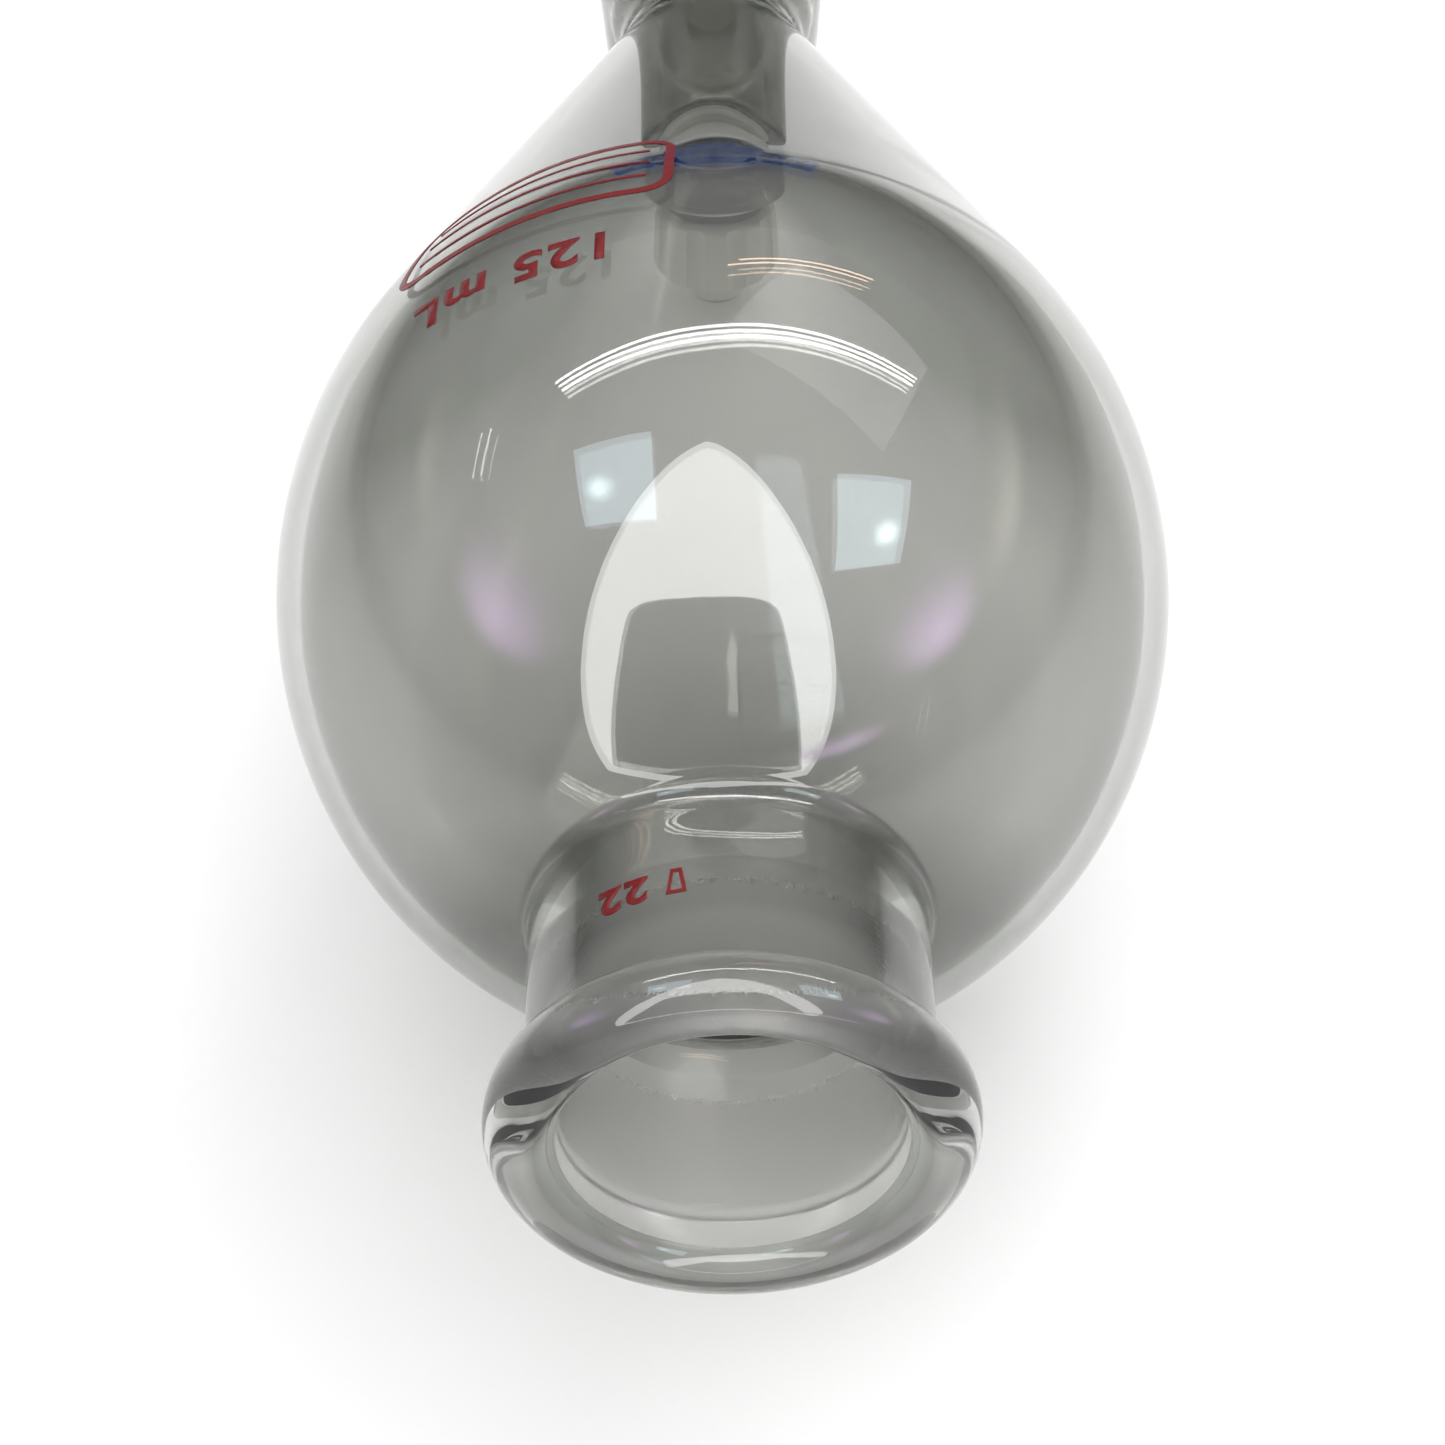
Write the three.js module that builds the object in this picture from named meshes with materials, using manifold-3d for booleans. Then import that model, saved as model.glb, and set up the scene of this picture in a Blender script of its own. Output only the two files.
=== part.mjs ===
// Pear-shaped separatory funnel, 125 mL, lying level on its bulb and on the tail of its stopcock plug.
// Millimetres, +Z up. The funnel's axis is level and runs along +Y from the mouth to the drip tip.
// The origin is on the resting surface, under the middle of the funnel's length.
import * as THREE from "three";
import { mergeVertices } from "three/addons/utils/BufferGeometryUtils.js";
import Module from "manifold-3d";

const wasm = await Module();
wasm.setup();

// Driving dimensions. A "station" is a distance from the mouth along the funnel's axis.
const gap = 0.3;
const overallLength = 200;
const bulbRadius = 31;
const bulbStation = 49.6;
const bulbNeckLength = 33.2;
const bulbTailLength = 34.3;
const coneHalfAngle = THREE.MathUtils.degToRad(24);
const wall = 1.6;
const pinchRadius = 7.25;
const neckRadius = 13;
const neckEnd = 19.46;
const beadRadius = 2.6;
const mouthRadius = 12.1;
const socketRadius = 11;
const socketTaper = 0.05;
const socketStart = 3;
const barrelStation = 122;
const barrelHalfLength = 16;
const barrelRadius = 9.2;
const barrelSlope = 0.075;
const boreRadius = 6.2;
const boreSlope = 0.1;
const portRadius = 2.2;
const plugClearance = 0.2;
const plugHoleRadius = 1;
const plugCollarTop = 18.4;
const headWidth = 8;
const headTop = 29.5;
const tailRadius = 3.2;
const washerThickness = 1.2;
const washerRadius = 6.2;
const ringCoreRadius = 1;
const nutRadius = 6.5;
const nutHeight = 6.6;
const nutFlutes = 10;
const tailHoleRadius = 3.55;
const handleBottom = 19;
const handleTop = 32;
const handleHalfSpan = 17;
const handleHubRadius = 8;
const handleTipRadius = 3.2;
const stemRadius = 4;
const stemBoreRadius = 2.5;

const axisHeight = bulbRadius;
const mouthY = -overallLength / 2;
const barrelY = mouthY + barrelStation;

const glassMaterial = new THREE.MeshStandardMaterial({ color: 0xb9c2bf, roughness: 0.08, metalness: 0 });
const ptfeMaterial = new THREE.MeshStandardMaterial({ color: 0xf1f1ec, roughness: 0.5, metalness: 0 });
const handleMaterial = new THREE.MeshStandardMaterial({ color: 0x1f4fa3, roughness: 0.35, metalness: 0 });
const rubberMaterial = new THREE.MeshStandardMaterial({ color: 0x1c1c1e, roughness: 0.7, metalness: 0 });
const nutMaterial = new THREE.MeshStandardMaterial({ color: 0xe9e8e2, roughness: 0.45, metalness: 0 });

const group = new THREE.Group();

function add(name, geometry, material, y) {
  const mesh = new THREE.Mesh(geometry, material.clone());
  mesh.name = name;
  mesh.position.set(0, y, axisHeight);
  group.add(mesh);
}

// Points are [distance along the axis, radius]. The facets are tangent to the true round surface,
// with one facet facing straight down.
function revolved(points, segments) {
  const onAxis = points[0][1] === 0;
  const loop = onAxis ? points : [...points, points[0]];
  const scale = 1 / Math.cos(Math.PI / segments);
  const profile = loop.map(([along, radius]) => new THREE.Vector2(radius * scale, along));
  return new THREE.LatheGeometry(profile, segments, Math.PI / segments);
}

function upright(geometry) {
  return geometry.rotateX(Math.PI / 2);
}

function solid(geometry) {
  geometry.deleteAttribute("normal");
  geometry.deleteAttribute("uv");
  const merged = mergeVertices(geometry);
  const index = merged.index.array;
  const triangles = [];
  for (let i = 0; i < index.length; i += 3) {
    const [a, b, c] = index.slice(i, i + 3);
    if (a !== b && b !== c && c !== a) triangles.push(a, b, c);
  }
  const vertProperties = new Float32Array(merged.attributes.position.array);
  const triVerts = new Uint32Array(triangles);
  return new wasm.Manifold(new wasm.Mesh({ numProp: 3, vertProperties, triVerts }));
}

function geometryOf(manifold) {
  const { vertProperties, triVerts } = manifold.getMesh();
  const geometry = new THREE.BufferGeometry();
  geometry.setAttribute("position", new THREE.BufferAttribute(vertProperties, 3));
  geometry.setIndex(new THREE.BufferAttribute(triVerts, 1));
  geometry.computeVertexNormals();
  return geometry;
}

// Points on an arc of an ellipse, from one angle to another, in degrees from the axis.
function arc(station, radius, along, across, from, to, steps) {
  const points = [];
  for (let i = 0; i <= steps; i += 1) {
    const angle = THREE.MathUtils.degToRad(from + ((to - from) * i) / steps);
    points.push([station + along * Math.cos(angle), radius + across * Math.sin(angle)]);
  }
  return points;
}

// The bulb's own curve, inset by depth: an ellipse at the neck side, an ellipse at the tail side,
// and the cone that leaves the second one at a tangent. It starts at startRadius by the neck.
function bulbCurve(depth, startRadius) {
  const across = bulbRadius - depth;
  const neckSide = bulbNeckLength - depth;
  const tailSide = bulbTailLength - depth;
  const startAngle = 180 - THREE.MathUtils.radToDeg(Math.asin(startRadius / across));
  const tangentAngle = THREE.MathUtils.radToDeg(Math.atan(across / (tailSide * Math.tan(coneHalfAngle))));
  const first = arc(bulbStation, 0, neckSide, across, startAngle, 90, 9);
  const second = arc(bulbStation, 0, tailSide, across, 90, tangentAngle, 4);
  return [...first, ...second.slice(1)];
}

function alongCone([station, radius], endRadius) {
  return [station + (radius - endRadius) / Math.tan(coneHalfAngle), endRadius];
}

// The barrel's outside, grown by the gap, which cuts what is welded to it.
function barrelCutter() {
  const reach = 30;
  const points = [
    [-reach, 0],
    [-reach, barrelRadius - barrelSlope * reach + gap],
    [reach, barrelRadius + barrelSlope * reach + gap],
    [reach, 0],
  ];
  return solid(upright(revolved(points, 40))).translate([0, barrelStation, 0]);
}

function socketProfile() {
  const end = neckEnd - gap;
  const endRadius = socketRadius - socketTaper * (end - socketStart);
  const beadCentre = neckRadius + 0.2;
  const bead = arc(beadRadius, beadCentre, beadRadius, beadRadius - 0.2, 180, 20, 9);
  const outside = [[beadRadius * 2.2, neckRadius + 0.15], [beadRadius * 2.7, neckRadius], [end, neckRadius]];
  const lip = [[end, endRadius], [socketStart, socketRadius], [1.1, 11.4], [0.35, 11.75], [0, mouthRadius]];
  return [...bead, ...outside, ...lip];
}

function bulbSolid() {
  const outer = bulbCurve(0, neckRadius);
  const inner = bulbCurve(wall, socketRadius - socketTaper * (neckEnd - socketStart));
  const outerCone = alongCone(outer.at(-1), pinchRadius);
  const innerCone = alongCone(inner.at(-1), pinchRadius - 1.7);
  const outerEnd = [[113.4, 7.15], [115.2, 7.6], [118, 8.4]];
  const innerEnd = [[111.6, 4.7], [118, 4.3]];
  const outline = [...outer, outerCone, ...outerEnd, ...innerEnd.reverse(), innerCone, ...inner.reverse()];
  outline.push([neckEnd, inner.at(-1)[1]]);
  return solid(revolved(outline, 48)).subtract(barrelCutter());
}

function barrelSolid() {
  const low = -barrelHalfLength;
  const high = barrelHalfLength;
  const ease = 0.7;
  const outline = [
    [low, boreRadius + boreSlope * low],
    [low, barrelRadius + barrelSlope * low - ease],
    [low + ease, barrelRadius + barrelSlope * low],
    [high - ease, barrelRadius + barrelSlope * high],
    [high, barrelRadius + barrelSlope * high - ease],
    [high, boreRadius + boreSlope * high],
  ];
  const ports = solid(new THREE.CylinderGeometry(portRadius, portRadius, 4 * barrelRadius, 20));
  return solid(upright(revolved(outline, 40))).subtract(ports);
}

function stemSolid() {
  const end = overallLength;
  const outline = [
    [126, 6.6],
    [131.6, 5.9],
    [133.6, 4.7],
    [137, stemRadius],
    [end, stemRadius],
    [end, stemBoreRadius],
    [126, stemBoreRadius],
  ];
  const bevel = new THREE.BoxGeometry(30, 12, 30);
  bevel.translate(0, 6, 0);
  bevel.rotateX(THREE.MathUtils.degToRad(35));
  bevel.translate(0, end, -stemRadius);
  return solid(revolved(outline, 24)).subtract(barrelCutter()).subtract(solid(bevel));
}

function plugSolid() {
  const low = -barrelHalfLength;
  const radiusAt = (height) => boreRadius - plugClearance + boreSlope * height;
  const outline = [
    [-axisHeight, 0],
    [-axisHeight, tailRadius - 0.5],
    [-axisHeight + 0.5, tailRadius],
    [low + 0.8, tailRadius],
    [low + 1.5, radiusAt(low + 1.5)],
    [plugCollarTop - 0.6, radiusAt(plugCollarTop)],
    [plugCollarTop, radiusAt(plugCollarTop) - 0.6],
    [plugCollarTop, 0],
  ];
  const headHeight = headTop - plugCollarTop + 1;
  const head = new THREE.BoxGeometry(headWidth, headWidth, headHeight);
  head.translate(0, 0, headTop - headHeight / 2);
  const crossHole = new THREE.CylinderGeometry(plugHoleRadius, plugHoleRadius, 4 * boreRadius, 16);
  crossHole.rotateZ(Math.PI / 2);
  return solid(upright(revolved(outline, 32))).add(solid(head)).subtract(solid(crossHole));
}

// The plan of the wing handle: a round hub with a wing to each side, closing in a round tip.
function handleSolid() {
  const tipCentre = handleHalfSpan - handleTipRadius;
  const hubAngle = THREE.MathUtils.degToRad(38);
  const tipAngle = THREE.MathUtils.degToRad(84);
  const plan = new THREE.Shape();
  plan.absarc(tipCentre, 0, handleTipRadius, -tipAngle, tipAngle);
  plan.absarc(0, 0, handleHubRadius, hubAngle, Math.PI - hubAngle);
  plan.absarc(-tipCentre, 0, handleTipRadius, Math.PI - tipAngle, Math.PI + tipAngle);
  plan.absarc(0, 0, handleHubRadius, Math.PI + hubAngle, 2 * Math.PI - hubAngle);
  const bevel = 0.8;
  const body = new THREE.ExtrudeGeometry(plan, {
    depth: handleTop - handleBottom - 2 * bevel,
    bevelThickness: bevel,
    bevelSize: bevel,
    bevelOffset: -bevel,
    bevelSegments: 2,
    curveSegments: 10,
  });
  body.translate(0, 0, handleBottom + bevel);
  const pocketWidth = headWidth + 2 * gap;
  const pocketDepth = headTop + gap - handleBottom + 1;
  const pocket = new THREE.BoxGeometry(pocketWidth, pocketWidth, pocketDepth);
  pocket.translate(0, 0, headTop + gap - pocketDepth / 2);
  return solid(body).subtract(solid(pocket));
}

function washerGeometry(top) {
  const low = top - washerThickness;
  const outline = [[low, tailHoleRadius], [low, washerRadius], [top, washerRadius], [top, tailHoleRadius]];
  return upright(revolved(outline, 32));
}

function ringGeometry(top) {
  const centreRadius = tailHoleRadius + ringCoreRadius;
  const section = arc(top - ringCoreRadius, centreRadius, ringCoreRadius, ringCoreRadius, 360, 0, 10);
  return upright(revolved(section.slice(1), 28));
}

// A fluted round nut: each flute is a shallow dip in the outline, between two grips.
function nutGeometry(top) {
  const outline = [];
  const steps = nutFlutes * 4;
  const dip = [0, 0.1, 0.9, 0.1];
  for (let i = 0; i < steps; i += 1) {
    const angle = (2 * Math.PI * i) / steps;
    const radius = nutRadius - dip[i % 4];
    outline.push(new THREE.Vector2(radius * Math.cos(angle), radius * Math.sin(angle)));
  }
  const plan = new THREE.Shape(outline);
  const hole = new THREE.Path();
  hole.absarc(0, 0, tailHoleRadius, 0, 2 * Math.PI, true);
  plan.holes.push(hole);
  const body = new THREE.ExtrudeGeometry(plan, { depth: nutHeight, bevelEnabled: false, curveSegments: 16 });
  return body.translate(0, 0, top - nutHeight);
}

const washerTop = -barrelHalfLength - gap;
const ringTop = washerTop - washerThickness - gap;
const nutTop = ringTop - 2 * ringCoreRadius - gap;

add("neck_socket", revolved(socketProfile(), 48), glassMaterial, mouthY);
add("pear_bulb", geometryOf(bulbSolid()), glassMaterial, mouthY);
add("stopcock_barrel", geometryOf(barrelSolid()), glassMaterial, barrelY);
add("drip_stem", geometryOf(stemSolid()), glassMaterial, mouthY);
add("stopcock_plug", geometryOf(plugSolid()), ptfeMaterial, barrelY);
add("plug_handle", geometryOf(handleSolid()), handleMaterial, barrelY);
add("ptfe_washer", washerGeometry(washerTop), ptfeMaterial, barrelY);
add("o_ring", ringGeometry(ringTop), rubberMaterial, barrelY);
add("tension_nut", nutGeometry(nutTop), nutMaterial, barrelY);

export default group;
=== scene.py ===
import math
import bmesh
import bpy
from mathutils import Matrix, Vector


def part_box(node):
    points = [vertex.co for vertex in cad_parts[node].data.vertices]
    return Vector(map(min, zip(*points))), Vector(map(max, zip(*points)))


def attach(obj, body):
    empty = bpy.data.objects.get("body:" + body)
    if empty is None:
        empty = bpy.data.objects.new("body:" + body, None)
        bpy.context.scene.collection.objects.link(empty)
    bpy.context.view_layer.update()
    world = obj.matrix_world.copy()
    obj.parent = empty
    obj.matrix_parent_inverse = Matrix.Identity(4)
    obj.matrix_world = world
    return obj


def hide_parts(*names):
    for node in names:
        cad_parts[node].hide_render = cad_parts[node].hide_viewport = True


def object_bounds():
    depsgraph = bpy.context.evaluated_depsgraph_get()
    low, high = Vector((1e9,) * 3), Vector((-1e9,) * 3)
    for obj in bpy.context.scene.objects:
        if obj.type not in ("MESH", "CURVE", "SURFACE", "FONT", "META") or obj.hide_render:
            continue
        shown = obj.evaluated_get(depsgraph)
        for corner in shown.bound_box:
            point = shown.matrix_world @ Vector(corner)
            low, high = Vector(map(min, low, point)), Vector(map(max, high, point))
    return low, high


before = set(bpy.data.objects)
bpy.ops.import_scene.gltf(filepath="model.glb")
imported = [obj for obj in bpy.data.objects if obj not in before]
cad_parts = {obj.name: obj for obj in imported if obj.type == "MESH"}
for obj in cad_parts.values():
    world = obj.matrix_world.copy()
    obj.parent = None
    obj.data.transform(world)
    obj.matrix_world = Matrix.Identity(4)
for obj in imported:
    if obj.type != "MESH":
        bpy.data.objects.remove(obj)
cadLow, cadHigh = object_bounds()
mm = 0.001

# The funnel's axis runs along +Y from the mouth, and the stopcock's axis crosses it upright.
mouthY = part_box("neck_socket")[0].y
axisZ = sum(corner.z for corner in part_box("pear_bulb")) / 2
barrelY = sum(corner.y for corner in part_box("stopcock_barrel")) / 2
axes = {
    "funnel": (Vector((0, mouthY, axisZ)), Vector((0, 1, 0)), Vector((0, 0, 1))),
    "stopcock": (Vector((0, barrelY, axisZ)), Vector((0, 0, 1)), Vector((1, 0, 0))),
}
barrelStation = (barrelY - mouthY) / mm


# ---- camera

cameraSettings = {
    "sensor": 36.0,
    "lens": 102.83,
    "back": 156.63,      # from the mouth, level, in mm
    "above": 201.71,     # above the funnel's axis, in mm
    "pitch": 46.35,      # below level, in degrees
    "roll": -1.09,
    "shift": (-0.0019, 0.0128),
    "near": 0.01,
    "far": 20,
}


def makeCamera(s):
    data = bpy.data.cameras.new("camera")
    camera = bpy.data.objects.new("camera", data)
    bpy.context.scene.collection.objects.link(camera)
    data.sensor_width = s["sensor"]
    data.lens = s["lens"]
    data.shift_x = s["shift"][0]
    data.shift_y = s["shift"][1]
    data.clip_start = s["near"]
    data.clip_end = s["far"]
    tilt = Matrix.Rotation(math.radians(90 - s["pitch"]), 4, "X")
    roll = Matrix.Rotation(math.radians(s["roll"]), 4, "Z")
    place = Matrix.Translation((0, mouthY - s["back"] * mm, axisZ + s["above"] * mm))
    camera.matrix_world = place @ tilt @ roll
    bpy.context.scene.camera = camera


makeCamera(cameraSettings)
bpy.context.scene.view_settings.view_transform = "Standard"
print("camera set")


# ---- modelling helpers

def deselectAll():
    if bpy.context.object and bpy.context.object.mode != "OBJECT":
        bpy.ops.object.mode_set(mode="OBJECT")
    bpy.ops.object.select_all(action="DESELECT")


def activate(piece):
    deselectAll()
    piece.select_set(True)
    bpy.context.view_layer.objects.active = piece


def pick(kind, test):
    # selects in edit mode by place or normal
    piece = bpy.context.object
    bpy.ops.mesh.select_mode(type=kind)
    bpy.ops.mesh.select_all(action="DESELECT")
    mesh = bmesh.from_edit_mesh(piece.data)
    for item in {"VERT": mesh.verts, "EDGE": mesh.edges, "FACE": mesh.faces}[kind]:
        item.select_set(test(item))
    bmesh.update_edit_mesh(piece.data)


def arcPath(centre, along, across, start, end, steps):
    # an arc of an ellipse in the (along, radius) plane, angles in degrees from the axis
    turns = [math.radians(start + (end - start) * i / steps) for i in range(steps + 1)]
    return [(centre[0] + along * math.cos(t), centre[1] + across * math.sin(t)) for t in turns]


def straight(start, end, steps):
    return [tuple(a + (b - a) * i / steps for a, b in zip(start, end)) for i in range(steps + 1)]


def trimmed(path, reach):
    # the path without its last stretch of that length
    path = list(path)
    while len(path) > 2 and math.dist(path[-1], path[-2]) <= reach:
        reach -= math.dist(path[-1], path[-2])
        path.pop()
    share = reach / math.dist(path[-1], path[-2])
    path[-1] = tuple(a + (b - a) * share for a, b in zip(path[-1], path[-2]))
    return path


def joined(first, second, reach, steps=8, reachAfter=None):
    # two paths that meet at a corner, with the corner melted round over that reach
    corner = first[-1]
    before = trimmed(first, reach)
    after = trimmed(second[::-1], reachAfter or reach)[::-1]
    curve = []
    for i in range(1, steps):
        t = i / steps
        weights = (1 - t) ** 2, 2 * t * (1 - t), t * t
        curve.append(tuple(sum(w * p[k] for w, p in zip(weights, (before[-1], corner, after[0])))
                           for k in (0, 1)))
    return before + curve + after


def turned(name, outline, axis, steps):
    # draws the outline as one line of edges, in mm along and away from the axis, and spins it
    origin, along, outward = axes[axis]
    points = [origin + (along * a + outward * r) * mm for a, r in outline]
    deselectAll()
    bpy.ops.mesh.primitive_plane_add(size=mm)
    piece = bpy.context.object
    piece.name = name
    bpy.ops.object.mode_set(mode="EDIT")
    bpy.ops.mesh.select_mode(type="VERT")
    bpy.ops.mesh.select_all(action="SELECT")
    bpy.ops.mesh.merge(type="CENTER")
    bpy.ops.transform.translate(value=points[0])
    for last, point in zip(points, points[1:]):
        bpy.ops.mesh.extrude_region_move(TRANSFORM_OT_translate={"value": point - last})
    bpy.ops.mesh.select_all(action="SELECT")
    bpy.ops.mesh.spin(steps=steps, angle=2 * math.pi, center=origin, axis=along)
    bpy.ops.mesh.select_all(action="SELECT")
    bpy.ops.mesh.remove_doubles(threshold=0.0005 * mm)
    bpy.ops.mesh.normals_make_consistent(inside=False)
    bpy.ops.object.mode_set(mode="OBJECT")
    return piece


def block(name, size, centre):
    # a box with its place in its mesh, sizes in mm and the centre in metres
    deselectAll()
    bpy.ops.mesh.primitive_cube_add(size=1, location=centre)
    piece = bpy.context.object
    piece.name = name
    piece.scale = Vector(size) * mm
    bpy.ops.object.transform_apply(location=True, rotation=True, scale=True)
    return piece


def rod(name, radius, length, centre, direction, vertices=48):
    deselectAll()
    turn = Vector((0, 0, 1)).rotation_difference(Vector(direction)).to_euler()
    bpy.ops.mesh.primitive_cylinder_add(vertices=vertices, radius=radius * mm, depth=length * mm,
                                        location=centre, rotation=turn)
    piece = bpy.context.object
    piece.name = name
    bpy.ops.object.transform_apply(location=True, rotation=True, scale=True)
    return piece


def applied(piece, kind, **settings):
    activate(piece)
    modifier = piece.modifiers.new(kind.lower(), kind)
    for name, value in settings.items():
        setattr(modifier, name, value)
    bpy.ops.object.modifier_apply(modifier=modifier.name)
    return piece


def combine(piece, other, how):
    applied(piece, "BOOLEAN", operation=how, object=other, solver="EXACT")
    bpy.data.objects.remove(other)
    return piece


def fused(piece, voxel, passes):
    # melts joined solids into one skin with soft fillets
    applied(piece, "REMESH", mode="VOXEL", voxel_size=voxel * mm)
    applied(piece, "SMOOTH", factor=0.5, iterations=passes)
    return piece


def shadeByAngle(piece, degrees):
    activate(piece)
    bpy.ops.object.shade_smooth_by_angle(angle=math.radians(degrees))


def finished(piece, material, body, slot, *nodes):
    if material not in list(piece.data.materials):
        piece.data.materials.append(material)
    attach(piece, body)
    if nodes:
        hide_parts(*nodes)
    print("finished", piece.name, len(piece.data.polygons), "faces")


# ---- materials

rangeSockets = ("From Min", "From Max", "To Min", "To Max")


def linear(hexColour, alpha=1.0):
    # sRGB hex to linear
    values = [int(hexColour[i:i + 2], 16) / 255 for i in (1, 3, 5)]
    return [v / 12.92 if v <= 0.04045 else ((v + 0.055) / 1.055) ** 2.4 for v in values] + [alpha]


def addNode(tree, kind, settings=None, links=None):
    node = tree.nodes.new(kind)
    for name, value in (settings or {}).items():
        if isinstance(name, int) or name in node.inputs:
            node.inputs[name].default_value = value
        else:
            setattr(node, name, value)
    for name, source in (links or {}).items():
        tree.links.new(source, node.inputs[name])
    return node


def newMaterial(name):
    material = bpy.data.materials.new(name)
    material.use_nodes = True
    tree = material.node_tree
    tree.nodes.clear()
    place = addNode(tree, "ShaderNodeTexCoord").outputs["Object"]
    return material, tree, place


def perMm(size):
    # the scale of a noise whose blotches are about that many mm across
    return 1 / (size * mm)


def stationOf(tree, place):
    # distance from the mouth along the funnel's axis, in mm
    along = addNode(tree, "ShaderNodeSeparateXYZ", links={0: place}).outputs["Y"]
    reach = dict(zip(rangeSockets, (mouthY, mouthY + 200 * mm, 0.0, 200.0)))
    return addNode(tree, "ShaderNodeMapRange", reach, {"Value": along}).outputs["Result"]


def makeBorosilicate():
    # borosilicate 3.3, blown and fire polished: clear, drawn with a grey-green cast that is painted shade for
    # the grey seen through the glass, and that deepens where the wall is seen edge on, partly the wall's own
    # cast and partly painted shade; faintly wavy, with a few handling scuffs about half a millimetre across
    s = {
        "tints": ("#cfcfcc", "#72756e"), "edge": (0.50, 0.80, 0.0, 1.0), "ior": 1.474,
        "waveMm": 12.0, "waveDepthMm": 0.06, "scuffMm": 0.9, "scuffed": (0.72, 0.80, 0.0, 0.10),
        # painted shade by station: from one station to another, how much deeper the cast gets, less in the
        # bead and the barrel, and more in the neck's wall and over the bulb and cone toward the stopcock
        "shadeByStation": ((0.0, 6.5, -0.45, 0.0), (6.5, 10.0, 0.0, 0.35), (20.0, 25.0, 0.0, -0.35),
                   (45.0, 85.0, 0.0, 0.42), (85.0, 105.0, 0.0, 0.08), (113.0, 124.0, 0.0, -0.50)),
        # the solid ring of the lip lies between two radii and ends between two stations; its deeper cast is
        # partly its thick glass and partly painted shade
        "lip": (11.5 * mm, 14.5 * mm, 1.15, 0.0), "lipEnd": (2.0, 4.0, 1.0, 0.0),
    }
    material, tree, place = newMaterial("blownBorosilicate")
    wave = addNode(tree, "ShaderNodeTexNoise", {"Scale": perMm(s["waveMm"]), "Detail": 1.0},
                   {"Vector": place}).outputs["Fac"]
    scuff = addNode(tree, "ShaderNodeTexNoise",
                    {"Scale": perMm(s["scuffMm"]), "Detail": 4.0, "Roughness": 0.7},
                    {"Vector": place}).outputs["Fac"]
    facing = addNode(tree, "ShaderNodeLayerWeight", {"Blend": 0.5}).outputs["Facing"]
    along = stationOf(tree, place)
    across = addNode(tree, "ShaderNodeVectorMath",
                     {"operation": "MULTIPLY_ADD", 1: (1, 0, 1), 2: (0, 0, -axisZ)}, {0: place}).outputs[0]
    radius = addNode(tree, "ShaderNodeVectorMath", {"operation": "LENGTH"}, {0: across}).outputs["Value"]
    changes = [(along, change) for change in s["shadeByStation"]] + [(radius, s["lip"]), (along, s["lipEnd"])]
    *shadeByStation, lip, front = [addNode(tree, "ShaderNodeMapRange", dict(zip(rangeSockets, change)),
                                   {"Value": value}).outputs["Result"] for value, change in changes]
    shadeByStation.append(addNode(tree, "ShaderNodeMath", {"operation": "MULTIPLY"}, {0: lip, 1: front}).outputs[0])
    # the painted shade by station and at the lip deepens the cast on top of the edge-on deepening
    for change in shadeByStation:
        facing = addNode(tree, "ShaderNodeMath", {"operation": "ADD"}, {0: facing, 1: change}).outputs[0]
    edge = addNode(tree, "ShaderNodeMapRange", dict(zip(rangeSockets, s["edge"])), {"Value": facing})
    scuffed = addNode(tree, "ShaderNodeMapRange", dict(zip(rangeSockets, s["scuffed"])), {"Value": scuff})
    # both the clear tint and the edge tint carry painted shade
    clear, edgeCastAndShade = [linear(colour) for colour in s["tints"]]
    tint = addNode(tree, "ShaderNodeMix", {"data_type": "RGBA", 6: clear, 7: edgeCastAndShade},
                   {0: edge.outputs["Result"]})
    bump = addNode(tree, "ShaderNodeBump", {"Strength": 0.5, "Distance": s["waveDepthMm"] * mm},
                   {"Height": wave})
    shader = addNode(tree, "ShaderNodeBsdfPrincipled", {"IOR": s["ior"], "Transmission Weight": 1.0},
                     {"Base Color": tint.outputs[2], "Roughness": scuffed.outputs["Result"],
                      "Normal": bump.outputs["Normal"]})
    addNode(tree, "ShaderNodeOutputMaterial", links={"Surface": shader.outputs[0]})
    return material


def makeGroundGlass(name, tint, fade):
    # the same glass ground with fine grit: it scatters light to an even frosted grey that fades out
    # between two stations; the grit is drawn about five times coarser than real so that it shows
    s = {"ior": 1.474, "rough": (0.35, 0.65, 0.34, 0.46), "polished": 0.05,
         "gritMm": 0.3, "gritDepthMm": 0.02}
    material, tree, place = newMaterial(name)
    grit = addNode(tree, "ShaderNodeTexNoise", {"Scale": perMm(s["gritMm"]), "Detail": 3.0, "Roughness": 0.6},
                   {"Vector": place}).outputs["Fac"]
    changes = ((grit, s["rough"]), (stationOf(tree, place), (*fade, 1.0, s["polished"])))
    rough, share = [addNode(tree, "ShaderNodeMapRange", dict(zip(rangeSockets, change)),
                            {"Value": value}).outputs["Result"] for value, change in changes]
    faded = addNode(tree, "ShaderNodeMath", {"operation": "MULTIPLY"}, {0: rough, 1: share})
    bump = addNode(tree, "ShaderNodeBump", {"Strength": 0.4, "Distance": s["gritDepthMm"] * mm},
                   {"Height": grit})
    shader = addNode(tree, "ShaderNodeBsdfPrincipled",
                     {"Base Color": linear(tint), "IOR": s["ior"], "Transmission Weight": 1.0},
                     {"Roughness": faded.outputs[0], "Normal": bump.outputs["Normal"]})
    addNode(tree, "ShaderNodeOutputMaterial", links={"Surface": shader.outputs[0]})
    return material


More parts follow.
